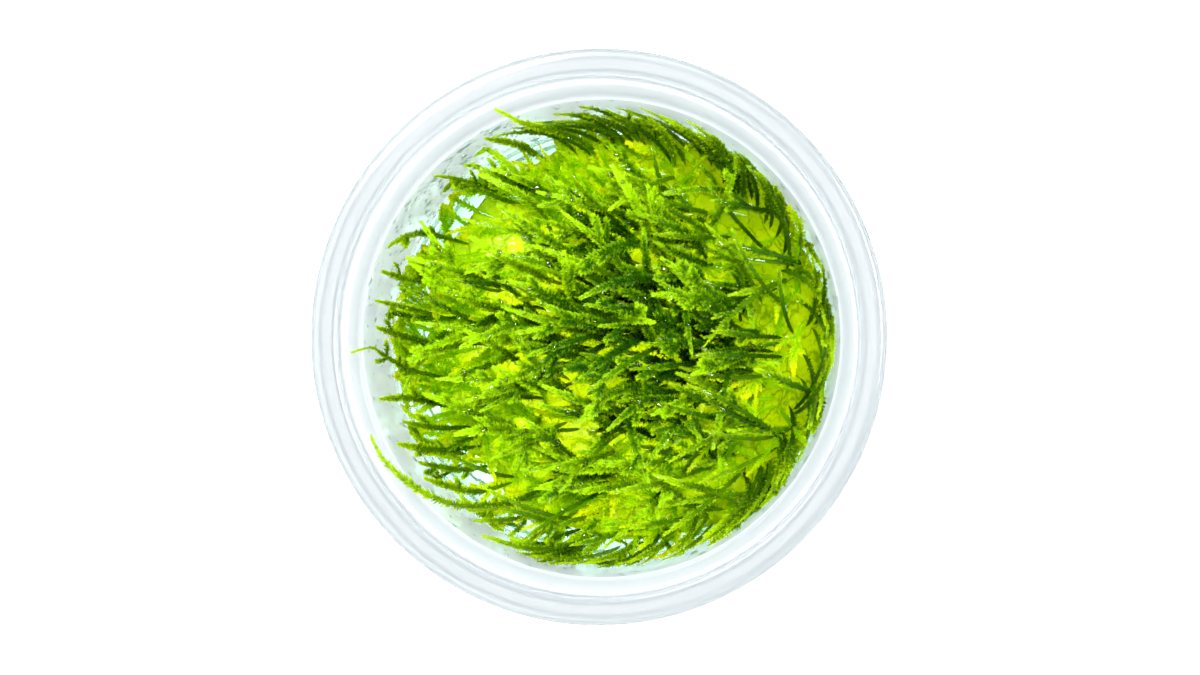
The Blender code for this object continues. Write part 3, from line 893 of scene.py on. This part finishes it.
triangle_count = 0
perches = []
tuft_names = sorted(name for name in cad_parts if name.startswith("tuft_"))
for name in tuft_names:
    foot, tip = ends_of(name)
    place = "middle" if math.dist(foot[:2], MIDDLE) < MIDDLE_REACH else "edge"
    routes, sideways = tuft_routes(foot, tip, SHOOTS_IN_TUFT[place])
    height = routes[:, -1, 2]
    # Higher shoots get a lighter tone, painted light on the top of the thatch and painted shade below; the
    # place adds painted shade in the middle and painted light towards the edge.
    tones = 0.36 + 0.26 * (height - height.min()) / np.ptp(height) + rng.normal(0, 0.09, len(routes))
    tones += painted_shade_at(routes[:, -1, 0], routes[:, -1, 1])
    triangle_count += grow(
        f"leafy_{name}", young_moss, name, routes, sideways, tones,
        LEAVES_ON_SHOOT, LEAF_LENGTH * BROADER[place], 0.22, (1.1, 0.5, 0.88),
    )
    perches.append(along(routes, rng.uniform(0.5, 0.98, (len(routes), BEADS_TO_A_SHOOT))).reshape(-1, 3))
perches = np.concatenate(perches)  # places on the shoots where beads of water can sit
print(len(tuft_names), "tufts:", triangle_count, "triangles")

# %% [markdown]
# ## The long shoots
# Single shoots lean out of the clump's edge to the wall, and three of them cross the ledge. Each follows
# the same listed points as its solid, on one smooth curve, with a few side branches.

# %% Grow the long shoots
LONG_SHOOTS = {
    "top_left_long": [
        (0.4, 22.3, 12.6), (-3.6, 25.2, 22), (-7.6, 26, 31), (-9.8, 26.4, 35.6), (-12.6, 27.9, 37.2),
    ],
    "top_left_mid": [(-6.8, 22, 12.3), (-10.4, 24.2, 24), (-14.2, 24.6, 32)],
    "top_left_low": [(-12.6, 18.6, 12.4), (-17.2, 19.8, 25), (-20.6, 20, 33.6)],
    "left_1": [(-18, 12.6, 12.4), (-23, 13.4, 24), (-26.4, 11.4, 33)],
    "left_2": [(-20.2, 7.6, 12.4), (-24.2, 7.6, 24), (-26.9, 8.2, 33.2)],
    "left_3": [(-20.8, 3.2, 12.4), (-25.2, 4.2, 25), (-27.6, 4.6, 34)],
    "left_4": [(-21, -0.6, 12.4), (-25.4, 0.6, 24), (-27.7, 1.4, 31.5)],
    "left_over_ledge": [
        (-20.8, -4.4, 12.4), (-24.4, -3.6, 24), (-26.8, -2, 33), (-27.9, -1.2, 36.2), (-30.2, -1.8, 37),
    ],
    "left_5": [(-19.8, -8.2, 12.4), (-24.2, -7.2, 24), (-27.2, -7.4, 32.6)],
    "lower_left_1": [(-17.6, -10.6, 12.6), (-21.4, -10.8, 20), (-24.8, -10.2, 28)],
    "lower_left_2": [(-16.4, -13, 12.6), (-20.6, -13.6, 21), (-25, -13, 31.5)],
    "lower_left_3": [(-14.6, -15.4, 12.4), (-18.8, -16, 17.5), (-23.4, -15.2, 23.5)],
    "lower_left_4": [(-12.4, -17.6, 12.6), (-16.8, -18.8, 20), (-22, -17.2, 29.5)],
    "along_ledge": [
        (-9, -19.2, 12.6), (-13, -20.4, 24), (-18, -20.4, 33.6),
        (-22, -18.6, 36.8), (-26, -15.4, 37), (-28, -12.3, 36.9),
    ],
    "bottom_1": [(-6.2, -20.6, 12.6), (-11.4, -22.2, 18), (-16.4, -22.4, 24)],
    "bottom_2": [(0.4, -22.4, 12.4), (-3.8, -25.2, 19), (-9.4, -25.8, 27), (-14.6, -24.2, 33)],
    "bottom_3": [(4.4, -22.8, 12.4), (2.6, -26, 23), (-1.9, -27.6, 32)],
    "bottom_4": [(8.8, -21.8, 12.4), (7.2, -25.2, 24), (3.4, -27.4, 33)],
    "lower_right_1": [(16.6, -18.2, 12.4), (16.8, -21.8, 24), (14.2, -24.8, 33)],
    "lower_right_2": [(21, -13.4, 12.4), (22.4, -16.8, 24), (19.6, -20.6, 32)],
    "right_1": [(24.4, -4.4, 12.4), (26.6, -7.2, 22), (26.4, -11.8, 31)],
    "right_2": [(24.8, 4.6, 12.4), (27.2, 4.6, 21), (28.2, 1.2, 29), (28.3, -3.2, 32)],
    "right_3": [(22.6, 12, 12.4), (25.4, 12, 22), (27.2, 8.6, 31)],
    "top_right_1": [(18.6, 17.6, 12.4), (21.2, 18.2, 22), (21.6, 18.9, 31)],
    "top_right_2": [(13.6, 20.6, 12.4), (12.6, 24.2, 23), (7.4, 27.2, 32.6)],
    "top_1": [(7.4, 22.8, 12.4), (4.6, 26.2, 23), (0.6, 28, 33)],
}
LONG_POINTS = 24
LEAVES_ON_LONG_SHOOT = 360


def smooth_route(stops, count=LONG_POINTS):
    """Evenly spaced points on a Catmull-Rom curve: the cubic that passes each stop, parallel to the line
    between the stops before and after it."""
    stops = np.array(stops, float) * MM
    ends = np.vstack([2 * stops[0] - stops[1], stops, 2 * stops[-1] - stops[-2]])
    t = np.linspace(0, 1, 30)[:, None]
    fine = np.concatenate([
        0.5 * (2 * b + (c - a) * t + (2 * a - 5 * b + 4 * c - d) * t**2 + (3 * b - a - 3 * c + d) * t**3)
        for a, b, c, d in zip(ends, ends[1:], ends[2:], ends[3:])
    ])
    walked = np.concatenate([[0], np.cumsum(np.linalg.norm(np.diff(fine, axis=0), axis=1))])
    even = np.linspace(0, walked[-1], count)
    return np.stack([np.interp(even, walked, fine[:, axis]) for axis in range(3)], -1)


triangle_count = 0
for name, stops in LONG_SHOOTS.items():
    route = keep_inside(smooth_route(stops)[None], 0.75 * MM)
    run = unit(route[:, -1] - route[:, 0])
    sideways = unit(np.cross(np.array([0, 0, 1.0]), run)) + rng.normal(0, 0.25, (1, 3))
    tones = np.array([rng.uniform(0.5, 0.68)])
    triangle_count += grow(
        f"leafy_shoot_{name}", tip_moss, f"shoot_{name}", route, sideways, tones,
        LEAVES_ON_LONG_SHOOT, LEAF_LENGTH, 0.12, (2.0, 0.3, 0.8),
    )
print(len(LONG_SHOOTS), "long shoots:", triangle_count, "triangles")

# %% [markdown]
# ## Creeping stems
# Over the pad creep older stems that never rose. They lie in all directions but mostly outwards and to
# the left. They are thin, and their pale finish is painted light for the table's glow coming up through
# the pad. They fill the gaps between the tufts with fine lines.

# %% Grow the creeping stems
CREEPING = 240
LEAVES_ON_CREEPER = 115
CREEPER_LEAF = 0.78 * MM


def creeping_routes(count):
    """Low arcs: a start on the pad, a heading, and a height over the pad that grows along the stem."""
    radius = np.sqrt(rng.uniform(0.15, 1.0, count)) * 0.98
    angle = rng.uniform(0, 2 * np.pi, count)
    start = toward(angle, between(PAD_REACH, angle) * radius)
    left = np.array([-1.0, 0.1])
    outward = unit(start + 1e-6) * rng.uniform(-0.4, 1, (count, 1))
    heading = unit(0.9 * left + 0.8 * outward + rng.normal(0, 0.55, (count, 2)))
    bend = rng.normal(0, 0.35, count)
    length = rng.uniform(6.0, 13.0, count) * MM
    share = np.linspace(0, 1, SHOOT_POINTS)[None, :, None]
    lateral = left_of(heading)
    flat = start[:, None] + length[:, None, None] * (
        heading[:, None] * share + lateral[:, None] * bend[:, None, None] * share**2
    )
    ground = np.maximum(pad_height(flat[..., 0], flat[..., 1]), GEL_TOP)
    lift = rng.uniform(0.3, 8.0, (count, 1)) * MM * share[..., 0] ** 1.3 + 0.25 * MM
    sideways = with_height(lateral, rng.normal(0, 0.3, count))
    return keep_inside(with_height(flat, ground + lift)), unit(sideways)


routes, sideways = creeping_routes(CREEPING)
tones = rng.uniform(0.35, 0.8, CREEPING)
triangle_count = grow(
    "creeping_stems", backlit_painted_moss, "stem_mat", routes, sideways, tones,
    LEAVES_ON_CREEPER, CREEPER_LEAF, 0.05, (0.6, 0.3, 0.8),
)
print(CREEPING, "creeping stems:", triangle_count, "triangles")

# %% [markdown]
# ## Shoots at the edge
# On the right and at the bottom, shoots stand against the wall. They creep up it and drift round it, to
# the left, and from above they make a dark band of feathers just inside the clear wall. Others start a
# little further in and lean back over the glowing pad.

# %% Grow the edge
WALL_SHOOTS = 92
INNER_SHOOTS = 72
LEAVES_ON_EDGE_SHOOT = 190


def wall_routes(count):
    """Routes up the wall: the height grows with the share, and the angle drifts towards the left side."""
    angle = np.radians(rng.uniform(-100, 100, count))
    drift = np.where(angle + rng.normal(0, 0.4, count) > 0, 1, -1) * np.radians(rng.uniform(5, 24, count))
    bottom = GEL_TOP + 0.6 * MM + 0.8 * between(PAD_CLIMB, angle)[:, None]
    top = rng.uniform(27, 34.4, (count, 1)) * MM
    share = np.linspace(0, 1, SHOOT_POINTS)
    height = bottom + (top - bottom) * share**0.8
    turn = angle[:, None] + drift[:, None] * share**1.3
    off_wall = rng.uniform(1.0, 3.5, (count, 1)) * (1 - share) ** 1.5 + rng.uniform(0, 1.2, (count, 1))
    radius = wall_radius(height) - 0.6 * MM - off_wall * MM
    routes = with_height(toward(turn, radius), height)
    sideways = with_height(left_of(toward(angle)) * np.sign(drift)[:, None], np.full(count, 0.4))
    return keep_inside(routes, 0.6 * MM), unit(sideways)


def inner_routes(count):
    """Routes that start near the wall and lean left over the pad, nearly level from half way."""
    angle = np.radians(rng.uniform(-150, 66, count))
    radius = rng.uniform(17, 27, count) * MM
    start = toward(angle, radius)
    direction = toward(heading_at(start[:, 1]) + rng.normal(0, 0.5, count))
    share = np.linspace(0, 1, SHOOT_POINTS)
    length = rng.uniform(7, 13, (count, 1)) * MM
    bend = rng.normal(0, 0.30, (count, 1)) * length * share**2
    flat = level_route(start, direction, length * share**1.2, bend)
    ground = pad_height(start[:, 0], start[:, 1])[:, None]
    rise = ground - 0.5 * MM + rng.uniform(3, 11, (count, 1)) * MM * (1 - (1 - share) ** 2)
    sideways = with_height(left_of(direction), rng.normal(0, 0.4, count))
    return keep_inside(with_height(flat, rise)), unit(sideways)


both = [wall_routes(WALL_SHOOTS), inner_routes(INNER_SHOOTS)]
routes, sideways = (np.concatenate(pair) for pair in zip(*both))
tones = rng.uniform(0.32, 0.72, len(routes))
triangle_count = grow(
    "edge_shoots", tip_moss, "stem_mat", routes, sideways, tones,
    LEAVES_ON_EDGE_SHOOT, 0.88 * LEAF_LENGTH, 0.06, (0.5, 0.3, 0.8),
)
print(len(routes), "edge shoots:", triangle_count, "triangles")

# %% [markdown]
# ## Water
# Water settles as flat domes on the cool wall, most of them on the upper left, and as small beads on the
# leaves, which show as white sparks. Both are closed lenses of plain transmission at the index of water.

# %% Drops
WATER_INDEX = 1.33
DROPS = 900
LARGE_DROPS = np.radians([116.6, 125.0])  # where two large ones hang
WALL_WATER = (0.62, 0.76, 0.62)  # greener, because the moss shines through


def water(tint):
    look = Look("water")
    vector = look.place()[0]
    shine = {"Base Color": tint, "Transmission Weight": 1.0, "IOR": WATER_INDEX}
    shine |= {"Roughness": look.noise(vector, 300.0) * 0.02}
    return look.finish(look.principled(shine))


def beads(centres, out, across, size, stretch, flatness, around=8):
    """Closed lenses. Each is a half circle turned about `out`, flattened along it, and stretched along
    `across`."""
    polar = np.linspace(0, np.pi, 6)
    angles = ring_angles(around)
    third = np.cross(out, across)
    wide = np.sin(polar)[:, None, None]
    ring = (
        wide * np.cos(angles)[:, None] * (across * stretch[:, None])[:, None, None]
        + wide * np.sin(angles)[:, None] * third[:, None, None]
        + np.reshape(flatness, (-1, 1, 1, 1)) * np.cos(polar)[:, None, None] * out[:, None, None]
    )
    return skin(centres[:, None, None] + size[:, None, None, None] * ring)


def wall_drops(count):
    """Places on the inner wall, a direction out of it, and sizes: many tiny drops and a few large ones."""
    angle = np.where(
        rng.uniform(0, 1, count) < 0.45,
        rng.normal(math.radians(138), 0.30, count),
        rng.uniform(0, 2 * np.pi, count),
    )
    height = rng.uniform(GEL_TOP + 1.5 * MM, WALL_TOP_HEIGHT - 0.6 * MM, count)
    size = np.clip(rng.lognormal(math.log(0.16), 0.5, count), 0.07, 0.6) * MM
    angle[:2], height[:2], size[:2] = LARGE_DROPS, 31 * MM, 0.6 * MM
    centres = with_height(toward(angle, wall_radius(height)), height)
    out = unit(with_height(-toward(angle), np.full(count, WALL_SLOPE)))
    across = with_height(left_of(toward(angle)), np.zeros(count))
    return centres, out, unit(np.cross(across, out)), size


clear_water = water(grey(1.0))
centres, out, down, size = wall_drops(DROPS)
points, triangles = beads(centres, out, down, size, rng.uniform(0.8, 1.6, DROPS), 0.5)
add_piece("condensation", points, triangles, water(WALL_WATER), True)
print("condensation:", len(triangles), "triangles")

# %% Beads on the leaves
BEADS = 900
BROAD_BEADS = 260  # of these, flat films of water
FACING = np.array([-0.1, 0.13, 1.0])  # films lie so that they mirror the left softbox up to the camera
chosen = rng.choice(len(perches), BEADS, replace=False)
centres = perches[chosen] + np.array([0, 0, 0.12 * MM])
broad = np.arange(BEADS) < BROAD_BEADS
tilt = rng.normal(0, 1, (BEADS, 3)) * np.where(broad, 0.07, 0.22)[:, None]
out = unit(FACING + tilt)
across = unit(np.cross(out, rng.normal(0, 1, (BEADS, 3))))
size = np.clip(rng.lognormal(math.log(0.21), 0.4, BEADS), 0.12, 0.38) * MM
size[:BROAD_BEADS] *= 1.6
flatness = np.where(broad, 0.2, 0.45)
points, triangles = beads(centres, out, across, size, rng.uniform(0.7, 1.4, BEADS), flatness)
add_piece("leaf_beads", points, triangles, clear_water, True)
print("beads:", len(triangles), "triangles")
